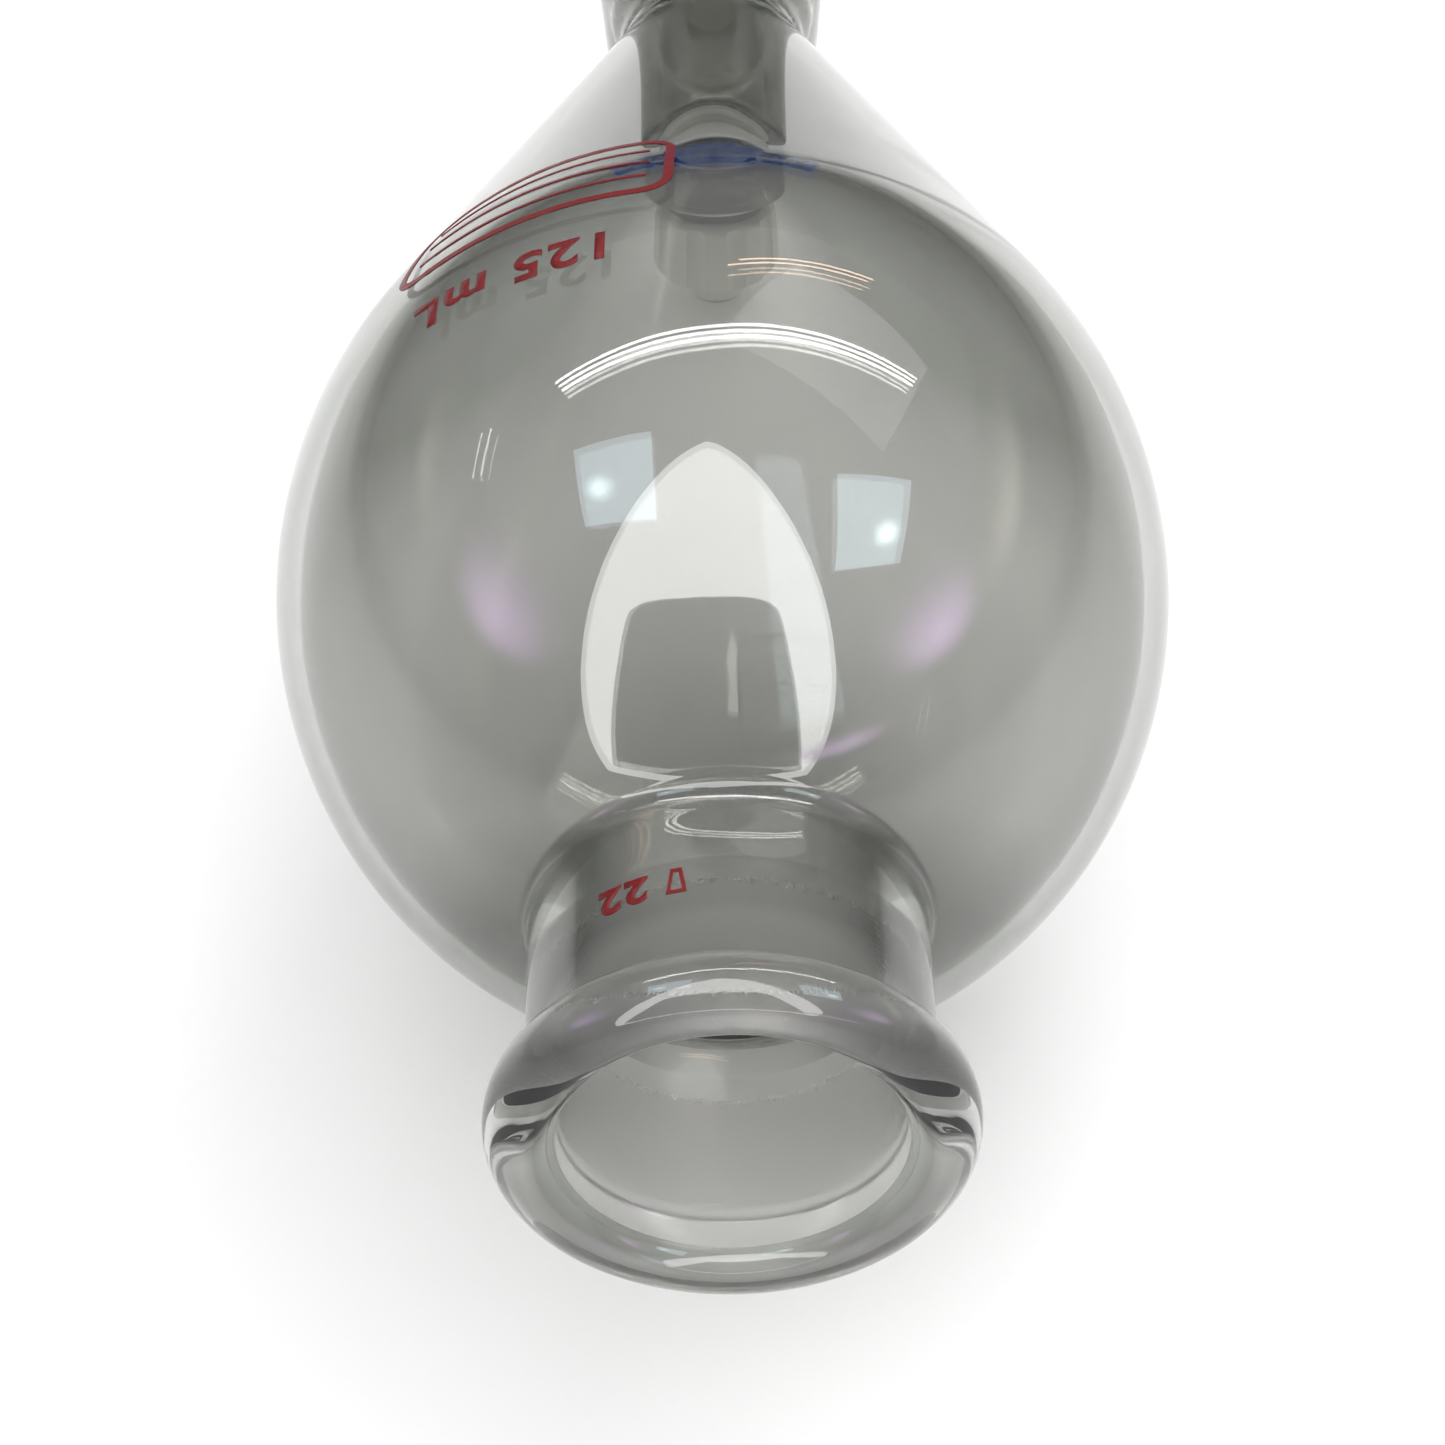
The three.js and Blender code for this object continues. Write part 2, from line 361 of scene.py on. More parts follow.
def makeSolid(name, s):
    # an opaque finish: soft patches mix two colours, and a finer pattern gives roughness and bump
    material, tree, place = newMaterial(name)
    patch = addNode(tree, "ShaderNodeTexNoise", {"Scale": perMm(s["patchMm"]), **s["patch"]},
                    {"Vector": place}).outputs["Fac"]
    if "dusted" in s:
        patch = addNode(tree, "ShaderNodeMapRange", dict(zip(rangeSockets, s["dusted"])),
                        {"Value": patch}).outputs["Result"]
    fine = patch
    if "fine" in s:
        fine = addNode(tree, s["fineKind"], s["fine"], {"Vector": place}).outputs["Fac"]
    first, second = [linear(colour) for colour in s["colours"]]
    colour = addNode(tree, "ShaderNodeMix", {"data_type": "RGBA", 6: first, 7: second}, {0: patch})
    rough = addNode(tree, "ShaderNodeMapRange", dict(zip(rangeSockets, s["rough"])),
                    {"Value": fine if s["roughFollows"] == "fine" else patch})
    bump = addNode(tree, "ShaderNodeBump", {"Strength": s["bump"], "Distance": s["depthMm"] * mm},
                   {"Height": fine})
    shader = addNode(tree, "ShaderNodeBsdfPrincipled", s["shader"],
                     {"Base Color": colour.outputs[2], "Roughness": rough.outputs["Result"],
                      "Normal": bump.outputs["Normal"]})
    addNode(tree, "ShaderNodeOutputMaterial", links={"Surface": shader.outputs[0]})
    return material


# PTFE turned from rod: waxy white, slightly translucent, with turning marks 0.35 mm apart (a wave's
# bands repeat every 0.31416 over its scale)
turnedPtfe = {
    "colours": ("#efefea", "#e2e2da"), "patchMm": 4.0, "patch": {"Detail": 3.0},
    "fineKind": "ShaderNodeTexWave",
    "fine": {"wave_type": "BANDS", "bands_direction": "Z", "Scale": 0.31416 / (0.35 * mm), "Distortion": 0.6,
             "Detail": 1.0},
    "rough": (0.3, 0.7, 0.38, 0.52), "roughFollows": "patch", "bump": 0.6, "depthMm": 0.012,
    "shader": {"IOR": 1.35, "Subsurface Weight": 0.5, "Subsurface Radius": (2.0, 2.0, 1.9),
               "Subsurface Scale": 1.0 * mm},
}
# polypropylene moulded in a lightly spark-textured tool: satin, with a fine even grain
bluePolypropylene = {
    "colours": ("#1b4a9c", "#2456ac"), "patchMm": 6.0, "patch": {"Detail": 3.0},
    "fineKind": "ShaderNodeTexNoise", "fine": {"Scale": perMm(0.35), "Detail": 2.0, "Roughness": 0.6},
    "rough": (0.3, 0.7, 0.36, 0.5), "roughFollows": "fine", "bump": 0.5, "depthMm": 0.02,
    "shader": {"IOR": 1.49},
}
# the same plastic without dye, from a slightly coarser tool: milky and a little duller
naturalPolypropylene = {
    "colours": ("#e6e5de", "#d9d8cf"), "patchMm": 6.0, "patch": {"Detail": 3.0},
    "fineKind": "ShaderNodeTexNoise", "fine": {"Scale": perMm(0.4), "Detail": 2.0, "Roughness": 0.6},
    "rough": (0.3, 0.7, 0.4, 0.55), "roughFollows": "fine", "bump": 0.5, "depthMm": 0.015,
    "shader": {"IOR": 1.49},
}
# black nitrile rubber, moulded: dull, with pale dust in its pores
nitrileRubber = {
    "colours": ("#141416", "#3a3a3c"), "patchMm": 0.5, "patch": {"Detail": 4.0, "Roughness": 0.7},
    "dusted": (0.5, 0.75, 0.0, 0.5), "rough": (0.0, 0.5, 0.55, 0.8), "roughFollows": "patch",
    "bump": 0.4, "depthMm": 0.02, "shader": {"IOR": 1.52},
}
# red ceramic ink, screened on and fired: dense, slightly glossy, a little uneven and pinholed
firedEnamel = {
    "colours": ("#5c0306", "#74080d"), "patchMm": 1.2, "patch": {"Detail": 4.0, "Roughness": 0.6},
    "fineKind": "ShaderNodeTexNoise", "fine": {"Scale": perMm(0.15), "Detail": 2.0},
    "rough": (0.3, 0.7, 0.32, 0.5), "roughFollows": "patch", "bump": 0.5, "depthMm": 0.01,
    "shader": {"IOR": 1.5, "Specular IOR Level": 0.2},
}

materials = {
    "glass": makeBorosilicate(),
    # the socket's ground glass is tinted darker than the bore's: painted shade for the dim neck and mouth
    "socket": makeGroundGlass("groundSocket", "#bdbcb9", (12.0, 15.0)),
    "bore": makeGroundGlass("groundBore", "#eeeeeb", (190.0, 200.0)),
    "ptfe": makeSolid("turnedPtfe", turnedPtfe),
    "handle": makeSolid("mouldedBluePolypropylene", bluePolypropylene),
    "nut": makeSolid("mouldedNaturalPolypropylene", naturalPolypropylene),
    "rubber": makeSolid("nitrileRubber", nitrileRubber),
    "enamel": makeSolid("firedRedEnamel", firedEnamel),
}
print("materials made")


# ---- the glass, one fused piece

vessel = {
    "bulbRadius": 31.0, "bulbStation": 49.6, "neckSide": 33.2, "tailSide": 34.3, "coneHalfAngle": 24.0,
    "wall": 1.6, "neckRadius": 13.0, "neckEnd": 19.46, "bead": 2.6, "beadCentre": 12.95,
    "socketRadius": 11.05, "socketTaper": 0.05, "socketEnd": 15.0, "lipDepth": 1.7,
    "throatEnd": 20.2, "throatFlare": 0.0228,
    "pinchRadius": 7.25, "tailRadius": 7.15, "tailInside": 4.5, "tailEnd": 113.6,
    "neckWeld": (1.5, 0.7), "pinchWeld": 1.2, "pinchInside": 4.5, "spin": 160,
}


def bulbPath(s, depth, neckRadius):
    # the bulb's curve and cone, set in by that depth, starting where it has the neck's radius
    across, neckSide, tailSide = (s[k] - depth for k in ("bulbRadius", "neckSide", "tailSide"))
    slope = math.tan(math.radians(s["coneHalfAngle"]))
    begin = 180 - math.degrees(math.asin(neckRadius / across))
    tangent = math.degrees(math.atan(across / (tailSide * slope)))
    centre = (s["bulbStation"], 0)
    front = arcPath(centre, neckSide, across, begin, 90, 40)
    back = arcPath(centre, tailSide, across, 90, tangent, 20)
    return front + back[1:]


def coneEnd(s, path, radius):
    station, start = path[-1]
    return station + (start - radius) / math.tan(math.radians(s["coneHalfAngle"])), radius


def makeVessel(s):
    bead = arcPath((s["bead"], s["beadCentre"]), s["bead"], s["bead"], 180, 1, 22)
    neck = straight(bead[-1], (s["neckEnd"], s["neckRadius"]), 6)
    bulb = bulbPath(s, 0, s["neckRadius"])
    cone = straight(bulb[-1], coneEnd(s, bulb, s["pinchRadius"]), 14)
    tail = straight(cone[-1], (s["tailEnd"], s["tailRadius"]), 2)
    outer = joined(bead, neck, 0.6, 5)
    outer = joined(outer, bulb, s["neckWeld"][0], 14, s["neckWeld"][1])
    outer = joined(outer + cone[1:], tail, s["pinchWeld"], 8)
    lip = arcPath((s["lipDepth"], s["beadCentre"]), s["lipDepth"], s["beadCentre"] - s["socketRadius"],
                  180, 270, 10)
    # the ground taper, then a fire-polished throat that opens into the bulb
    socketEnd = s["socketEnd"], s["socketRadius"] - s["socketTaper"] * (s["socketEnd"] - s["lipDepth"])
    socket = straight(lip[-1], socketEnd, 10)
    throat = [(a, r + s["throatFlare"] * (a - s["socketEnd"]) ** 2)
              for a, r in straight(socketEnd, (s["throatEnd"], socketEnd[1]), 12)]
    inside = bulbPath(s, s["wall"], throat[-1][1])
    insideCone = straight(inside[-1], coneEnd(s, inside, s["tailInside"] + 0.2), 14)
    insideTail = straight(insideCone[-1], (s["tailEnd"], s["tailInside"]), 2)
    inner = joined(lip + socket[1:] + throat[1:], inside, 0.9, 6)
    inner = joined(inner + insideCone[1:], insideTail, s["pinchInside"], 14, 1.0)
    return turned("funnelGlass", outer + inner[::-1], "funnel", s["spin"])


barrel = {
    "halfLength": 16.0, "radius": 9.2, "slope": 0.075, "edge": 0.9, "bore": 6.2, "boreSlope": 0.1,
    "port": 2.2, "stubStart": 111.9, "stubRadius": 7.35, "voxel": 0.35, "meltPasses": 7,
    "stemRadius": 4.0, "stemBore": 2.5, "stemStart": 134.0, "rootEnd": 137.0, "tipAngle": 35.0,
}


def barrelCone(name, radius, slope, halfLength, edge, steps):
    low = -halfLength
    high = halfLength
    wall = [(low, radius + slope * low), (high, radius + slope * high)]
    if edge:
        end = [(low, 0), wall[0]]
        path = joined(joined(end, wall, edge, 5), [wall[1], (high, 0)], edge, 5)
    else:
        path = [(low, 0), *wall, (high, 0)]
    return turned(name, path, "stopcock", steps)


def makeBarrel(s):
    body = barrelCone("barrelBlank", s["radius"], s["slope"], s["halfLength"], s["edge"], 96)
    stub = turned("stub", [(s["stubStart"], 0), (s["stubStart"], s["stubRadius"]),
                           (s["stubStart"] + 2, s["stubRadius"]), (s["stubStart"] + 4, s["stubRadius"] + 0.7),
                           (barrelStation, s["stubRadius"] + 1.2), (barrelStation, 0)], "funnel", 64)
    rootRadius = s["stemRadius"] + 0.08
    root = turned("root", [(barrelStation, 0), (barrelStation + 7, rootRadius + 2.2),
                           (barrelStation + 9.4, rootRadius + 1.6), (barrelStation + 11, rootRadius + 0.5),
                           (s["rootEnd"] - 1.5, rootRadius), (s["rootEnd"], rootRadius), (s["rootEnd"], 0)],
                  "funnel", 64)
    combine(body, stub, "UNION")
    combine(body, root, "UNION")
    fused(body, s["voxel"], s["meltPasses"])
    reach = s["halfLength"] + 2
    combine(body, barrelCone("bore", s["bore"], s["boreSlope"], reach, 0, 96), "DIFFERENCE")
    inside = vessel["tailInside"] - 0.06
    front = [(s["stubStart"] - 1, 0), (s["stubStart"] - 1, inside), (s["stubStart"] + 0.6, inside)]
    port = [(s["stubStart"] + 2.4, s["port"]), (barrelStation, s["port"]), (barrelStation, 0)]
    combine(body, turned("inlet", joined(front, [front[-1], *port], 0.9, 6), "funnel", 64), "DIFFERENCE")
    stemBore = s["stemBore"] - 0.05
    outlet = [(barrelStation, 0), (barrelStation, s["port"]), (barrelStation + 8, s["port"]),
              (barrelStation + 10, stemBore), (s["rootEnd"] + 1, stemBore), (s["rootEnd"] + 1, 0)]
    return combine(body, turned("outlet", outlet, "funnel", 64), "DIFFERENCE")


def makeStem(s):
    end = (cadHigh.y - mouthY) / mm
    outline = [(s["stemStart"], s["stemBore"]), (s["stemStart"], s["stemRadius"]), (end, s["stemRadius"]),
               (end, s["stemBore"]), (s["stemStart"], s["stemBore"])]
    stem = turned("stem", outline, "funnel", 64)
    lowEdge = Vector((0, cadHigh.y, axisZ - s["stemRadius"] * mm))
    wedge = block("wedge", (30, 12, 30), lowEdge + Vector((0, 6 * mm, 0)))
    bpy.ops.object.mode_set(mode="EDIT")
    bpy.ops.mesh.select_all(action="SELECT")
    turn = Matrix.Rotation(math.radians(s["tipAngle"]), 4, "X")
    mesh = bmesh.from_edit_mesh(wedge.data)
    for vertex in mesh.verts:
        vertex.co = lowEdge + turn @ (vertex.co - lowEdge)
    bmesh.update_edit_mesh(wedge.data)
    combine(stem, wedge, "DIFFERENCE")
    # the cut tip is flame polished, so its edges are round
    activate(stem)
    bpy.ops.object.mode_set(mode="EDIT")
    normal = turn @ Vector((0, 1, 0))
    pick("FACE", lambda face: face.normal.dot(normal) > 0.999)
    bpy.ops.mesh.region_to_loop()
    bpy.ops.mesh.bevel(offset=0.4 * mm, segments=4, affect="EDGES")
    bpy.ops.object.mode_set(mode="OBJECT")
    return stem


def frost(piece):
    # the socket and the barrel's bore are ground
    for face in piece.data.polygons:
        centre = face.center
        station = (centre.y - mouthY) / mm
        fromAxis = math.hypot(centre.x, centre.z - axisZ) / mm
        fromBarrel = math.hypot(centre.x, centre.y - barrelY) / mm
        onTaper = vessel["lipDepth"] < station < vessel["socketEnd"]
        socket = onTaper and fromAxis < vessel["socketRadius"] + 0.05
        height = (centre.z - axisZ) / mm
        bore = abs(fromBarrel - (barrel["bore"] + barrel["boreSlope"] * height)) < 0.03
        inBarrel = bore and abs(height) < barrel["halfLength"]
        face.material_index = 1 if socket else 2 if inBarrel else 0


def makeGlass():
    glass = makeVessel(vessel)
    print("vessel turned")
    combine(glass, makeBarrel(barrel), "UNION")
    print("barrel welded on")
    combine(glass, makeStem(barrel), "UNION")
    print("stem welded on")
    glass.data.materials.clear()
    glass.data.materials.append(materials["glass"])
    glass.data.materials.append(materials["socket"])
    glass.data.materials.append(materials["bore"])
    frost(glass)
    shadeByAngle(glass, 35)
    finished(glass, materials["glass"], "glass", "borosilicate_glass",
             "neck_socket", "pear_bulb", "stopcock_barrel", "drip_stem")
    return glass


glass = makeGlass()


# ---- fired enamel marks

marks = {
    "capacity": {"text": "125 mL", "bold": 0.028, "height": 3.1, "width": 15.6,
                 "station": 53.6, "arcMm": 14.6, "radius": 31.0},
    "size": {"text": "22", "bold": 0.04, "height": 2.1, "width": 4.0,
             "station": 13.0, "arcMm": 6.8, "radius": 13.0},
    "field": {"width": 22.0, "height": 11.5, "line": 0.7, "corner": 2.6, "rules": 3, "ruleLine": 0.34,
              "station": 63.4, "arcMm": 12.6, "radius": 27.9},
    "taper": {"width": 1.5, "height": 2.0, "narrow": 0.55, "line": 0.28,
              "station": 12.0, "arcMm": 3.2, "radius": 13.0},
    "ink": 0.05, "dice": 0.7, "lift": 1.5,
}


def corners(piece):
    # the lowest and highest x and y of a flat mark
    places = [vertex.co for vertex in piece.data.vertices]
    low = [min(place[k] for place in places) for k in (0, 1)]
    high = [max(place[k] for place in places) for k in (0, 1)]
    return low, high


def diced(piece, step):
    # cuts a flat mark into small tiles, so that it can follow the curve of the glass
    activate(piece)
    low, high = corners(piece)
    bpy.ops.object.mode_set(mode="EDIT")
    for k, normal in ((0, (1, 0, 0)), (1, (0, 1, 0))):
        cuts = int((high[k] - low[k]) / (step * mm))
        for i in range(1, cuts + 1):
            place = [0, 0, 0]
            place[k] = low[k] + (high[k] - low[k]) * i / (cuts + 1)
            bpy.ops.mesh.select_all(action="SELECT")
            bpy.ops.mesh.bisect(plane_co=place, plane_no=normal)
    bpy.ops.object.mode_set(mode="OBJECT")


def fired(piece, s):
    # lays the flat mark on the glass, reading right way up when the mouth is up
    diced(piece, marks["dice"])
    turn = s["arcMm"] / s["radius"]
    outward = Vector((-math.sin(turn), 0, math.cos(turn)))
    reading = Vector((-math.cos(turn), 0, -math.sin(turn)))
    upwards = Vector((0, -1, 0))
    place = Matrix((reading, upwards, outward)).transposed().to_4x4()
    raised = outward * (s["radius"] + marks["lift"]) * mm
    place.translation = Vector((0, mouthY + s["station"] * mm, axisZ)) + raised
    piece.matrix_world = place
    activate(piece)
    bpy.ops.object.transform_apply(location=True, rotation=True, scale=True)
    applied(piece, "SHRINKWRAP", target=glass, wrap_method="NEAREST_SURFACEPOINT", wrap_mode="ON_SURFACE",
            offset=0.0)
    applied(piece, "SOLIDIFY", thickness=marks["ink"] * mm, offset=1.0)
    finished(piece, materials["enamel"], "glass", "red_enamel")


def makeLettering(name, s):
    deselectAll()
    bpy.ops.object.text_add()
    words = bpy.context.object
    words.name = name
    words.data.body = s["text"]
    words.data.offset = s["bold"]
    words.data.space_character = 1.12
    words.data.resolution_u = 4
    bpy.ops.object.convert(target="MESH")
    piece = bpy.context.object
    low, high = corners(piece)
    scale = [s["width"] * mm / (high[0] - low[0]), s["height"] * mm / (high[1] - low[1]), 1]
    bpy.ops.object.mode_set(mode="EDIT")
    bpy.ops.mesh.select_all(action="SELECT")
    bpy.ops.transform.translate(value=(-(low[0] + high[0]) / 2, -low[1], 0))
    bpy.ops.transform.resize(value=scale, center_override=(0, 0, 0))
    bpy.ops.mesh.remove_doubles(threshold=0.001 * mm)
    bpy.ops.object.mode_set(mode="OBJECT")
    fired(piece, s)


def makeField(s):
    # a plain outlined field to write on, with ruled lines
    deselectAll()
    bpy.ops.mesh.primitive_plane_add(size=1)
    piece = bpy.context.object
    piece.name = "markingField"
    piece.scale = (s["width"] * mm, s["height"] * mm, 1)
    bpy.ops.object.transform_apply(scale=True)
    bpy.ops.object.mode_set(mode="EDIT")
    bpy.ops.mesh.select_all(action="SELECT")
    bpy.ops.mesh.bevel(offset=s["corner"] * mm, segments=8, affect="VERTICES")
    bpy.ops.mesh.inset(thickness=s["line"] * mm)
    bpy.ops.mesh.delete(type="ONLY_FACE")
    for i in range(s["rules"]):
        height = s["height"] * ((i + 1) / (s["rules"] + 1) - 0.5) * mm
        bpy.ops.mesh.primitive_plane_add(size=1, location=(0, height, 0))
        bpy.ops.transform.resize(value=((s["width"] - 4) * mm, s["ruleLine"] * mm, 1),
                                 center_override=(0, height, 0))
    bpy.ops.object.mode_set(mode="OBJECT")
    fired(piece, s)


def makeTaperSign(s):
    # a small outline that narrows, the sign for a tapered joint
    deselectAll()
    bpy.ops.mesh.primitive_plane_add(size=1)
    piece = bpy.context.object
    piece.name = "taperSign"
    piece.scale = (s["width"] * mm, s["height"] * mm, 1)
    bpy.ops.object.transform_apply(scale=True)
    bpy.ops.object.mode_set(mode="EDIT")
    pick("VERT", lambda vertex: vertex.co.y < 0)
    bpy.ops.transform.resize(value=(s["narrow"], 1, 1), center_override=(0, 0, 0))
    bpy.ops.mesh.select_all(action="SELECT")
    bpy.ops.mesh.select_mode(type="FACE")
    bpy.ops.mesh.select_all(action="SELECT")
    bpy.ops.mesh.inset(thickness=s["line"] * mm)
    bpy.ops.mesh.delete(type="ONLY_FACE")
    bpy.ops.object.mode_set(mode="OBJECT")
    fired(piece, s)


makeLettering("capacityMark", marks["capacity"])
makeLettering("sizeMark", marks["size"])
makeField(marks["field"])
makeTaperSign(marks["taper"])
print("enamel fired")


# ---- the stopcock's loose pieces

plug = {
    "clearance": 0.07, "low": -14.6, "collar": 18.4, "head": 8.0, "headTop": 29.5, "hole": 1.0,
    "tailCore": 2.62, "tailCrest": 3.2, "pitch": 1.5, "tailLow": -31.0, "tailHigh": -17.2,
    "groove": (2.8, 3.0, 3.4, 3.6), "grooveDepth": 0.12,     # one above and one below the cross bore
    "threadTurn": 1.3,       # in degrees, so that the thread's corners miss the core's
}


def plugRadius(height):
    return barrel["bore"] - plug["clearance"] + barrel["boreSlope"] * height


def makePlug(s):
    collar = s["collar"]
    depths = (0, s["grooveDepth"], s["grooveDepth"], 0)
    upper = [(height, plugRadius(height) - depth) for height, depth in zip(s["groove"], depths)]
    lower = [(-height, plugRadius(-height) - depth) for height, depth in zip(s["groove"][::-1], depths)]
    outline = [(s["tailLow"], 0), (s["tailLow"], s["tailCore"] - 0.3), (s["tailLow"] + 0.4, s["tailCore"]),
               (s["tailHigh"], s["tailCore"]), (s["tailHigh"] + 0.3, s["tailCore"] + 0.5),
               (s["low"] - 0.5, s["tailCore"] + 0.5), (s["low"] - 0.4, plugRadius(s["low"]) - 0.4),
               (s["low"], plugRadius(s["low"])), *lower, *upper, (16.3, plugRadius(16.3)),
               (16.6, plugRadius(16.3) - 0.5), (17.0, plugRadius(16.3) - 0.5),
               (17.3, plugRadius(collar) - 0.1), (collar - 0.3, plugRadius(collar) - 0.1),
               (collar, plugRadius(collar) - 0.5), (collar, 0)]
    piece = turned("ptfePlug", outline, "stopcock", 96)
    headLow = collar - 1
    headHigh = s["headTop"]
    headCentre = Vector((0, barrelY, axisZ + (headLow + headHigh) / 2 * mm))
    head = block("head", (s["head"], s["head"], headHigh - headLow), headCentre)
    applied(head, "BEVEL", width=0.5 * mm, segments=3)
    combine(piece, head, "UNION")
    combine(piece, makeThread(s), "UNION")
    hole = rod("hole", s["hole"], 30, (0, barrelY, axisZ), (1, 0, 0), 32)
    combine(piece, hole, "DIFFERENCE")
    shadeByAngle(piece, 35)
    finished(piece, materials["ptfe"], "plug", "ptfe", "stopcock_plug")


def makeThread(s):
    # the tail's thread: a four-sided section wound by the screw modifier, closed at both ends
    start = s["tailLow"] + 0.9
    turns = int((s["tailHigh"] - start - 0.6) / s["pitch"])
    half = s["pitch"] * 0.40
    core = s["tailCore"] - 0.25
    section = [(start, core), (start + half - 0.12, s["tailCrest"]), (start + half + 0.12, s["tailCrest"]),
               (start + 2 * half, core)]
    deselectAll()
    bpy.ops.mesh.primitive_plane_add(size=mm)
    piece = bpy.context.object
    piece.name = "thread"
    for vertex, (height, radius) in zip([piece.data.vertices[i] for i in (0, 1, 3, 2)], section):
        vertex.co = (radius * mm, 0, height * mm)
    bpy.ops.object.mode_set(mode="EDIT")
    bpy.ops.mesh.select_all(action="SELECT")
    bpy.ops.mesh.delete(type="ONLY_FACE")
    bpy.ops.object.mode_set(mode="OBJECT")
    applied(piece, "SCREW", axis="Z", angle=2 * math.pi * turns, screw_offset=s["pitch"] * turns * mm,
            steps=36 * turns, render_steps=36 * turns, use_merge_vertices=False)
    bpy.ops.object.mode_set(mode="EDIT")
    bpy.ops.mesh.select_all(action="SELECT")
    bpy.ops.mesh.fill_holes(sides=4)
    bpy.ops.mesh.normals_make_consistent(inside=False)
    bpy.ops.transform.rotate(value=math.radians(s["threadTurn"]), orient_axis="Z", center_override=(0, 0, 0))
    bpy.ops.transform.translate(value=(0, barrelY, axisZ))
    bpy.ops.object.mode_set(mode="OBJECT")
    return piece


handle = {
    "low": 19.0, "high": 32.0, "hub": 7.9, "span": 33.6, "thick": 6.2, "wingLow": 20.4, "wingHigh": 30.4,
    "tip": (0.72, 0.86), "tipRound": 1.9, "ribs": (9.6, 12.0, 14.4), "ribRadius": 0.7, "ribShare": 0.74,
    "pocket": 8.1, "dimple": (3.4, 1.2), "voxel": 0.32, "passes": 6,
}


def makeHandle(s):
    low = s["low"]
    high = s["high"]
    side = [(low, s["hub"] - 0.3), (high, s["hub"] - 0.9)]
    path = joined(joined([(low, 0), side[0]], side, 0.7, 5), [side[1], (high, 0)], 1.4, 6)
    piece = turned("wingHandle", path, "stopcock", 64)
    centre = Vector((0, barrelY, axisZ + (s["wingLow"] + s["wingHigh"]) / 2 * mm))
    wing = block("wing", (s["span"], s["thick"], s["wingHigh"] - s["wingLow"]), centre)
    bpy.ops.object.mode_set(mode="EDIT")
    for sign in (1, -1):
        pick("FACE", lambda face: face.normal.x * sign > 0.9)
        bpy.ops.transform.resize(value=(1, *s["tip"]), center_override=centre)
    pick("EDGE", lambda edge: all(abs(v.co.x) > s["span"] * 0.45 * mm for v in edge.verts)
         and abs(edge.verts[0].co.z - edge.verts[1].co.z) > mm)
    bpy.ops.mesh.bevel(offset=s["tipRound"] * mm, segments=6, affect="EDGES")
    bpy.ops.object.mode_set(mode="OBJECT")
    combine(piece, wing, "UNION")
    ribLength = (s["wingHigh"] - s["wingLow"]) * s["ribShare"]
    for x in s["ribs"]:
        share = 1 - (1 - s["tip"][0]) * x / (s["span"] / 2)
        for sign in (1, -1):
            for face in (1, -1):
                place = Vector((sign * x * mm, barrelY + face * s["thick"] / 2 * share * mm, centre.z))
                combine(piece, rod("rib", s["ribRadius"], ribLength, place, (0, 0, 1), 16), "UNION")
    fused(piece, s["voxel"], s["passes"])
    top = axisZ + high * mm
    combine(piece, rod("dimple", *s["dimple"], (0, barrelY, top), (0, 0, 1), 48), "DIFFERENCE")
    pocketHigh = plug["headTop"] + 0.1
    pocketLow = low - 1
    pocketCentre = Vector((0, barrelY, axisZ + (pocketHigh + pocketLow) / 2 * mm))
    pocket = block("pocket", (s["pocket"], s["pocket"], pocketHigh - pocketLow), pocketCentre)
    combine(piece, pocket, "DIFFERENCE")
    shadeByAngle(piece, 40)
    finished(piece, materials["handle"], "plug", "handle_plastic", "plug_handle")


rings = {
    "washerTop": -16.04, "washer": 1.25, "washerRadius": 6.2, "bore": 3.35,
    "ringCore": 1.05, "squash": 0.95, "mouldLine": 0.06, "gap": 0.03,
}
nut = {
    "top": -19.45, "low": -26.7, "radius": 6.5, "bore": 3.28, "mouth": 0.5,
    "flutes": 10, "flute": 1.25, "flutePlace": 7.15, "edge": 0.18,
}


def makeWasher(s):
    high = s["washerTop"]
    low = high - s["washer"]
    section = [(low, s["bore"]), (low, s["washerRadius"]), (high, s["washerRadius"]), (high, s["bore"])]
    path = joined(section[:2], section[1:3], 0.25, 4)
    path = joined(path, section[2:4], 0.25, 4)
    path = joined(path, [section[3], section[0]], 0.2, 3)
    piece = turned("ptfeWasher", path, "stopcock", 96)
    shadeByAngle(piece, 40)
    finished(piece, materials["ptfe"], "washers", "ptfe", "ptfe_washer")


def makeRing(s):
    top = s["washerTop"] - s["washer"] - s["gap"]
    centre = (top - s["ringCore"] * s["squash"], s["bore"] + s["ringCore"])
    section = arcPath(centre, s["ringCore"] * s["squash"], s["ringCore"], 0, 360, 24)
    # a thin moulding line stands out where the two halves of the mould met
    section = [(a, r + (s["mouldLine"] if i == 6 else 0)) for i, (a, r) in enumerate(section)]
    piece = turned("nitrileRing", section, "stopcock", 96)
    shadeByAngle(piece, 50)
    finished(piece, materials["rubber"], "washers", "seal_rubber", "o_ring")


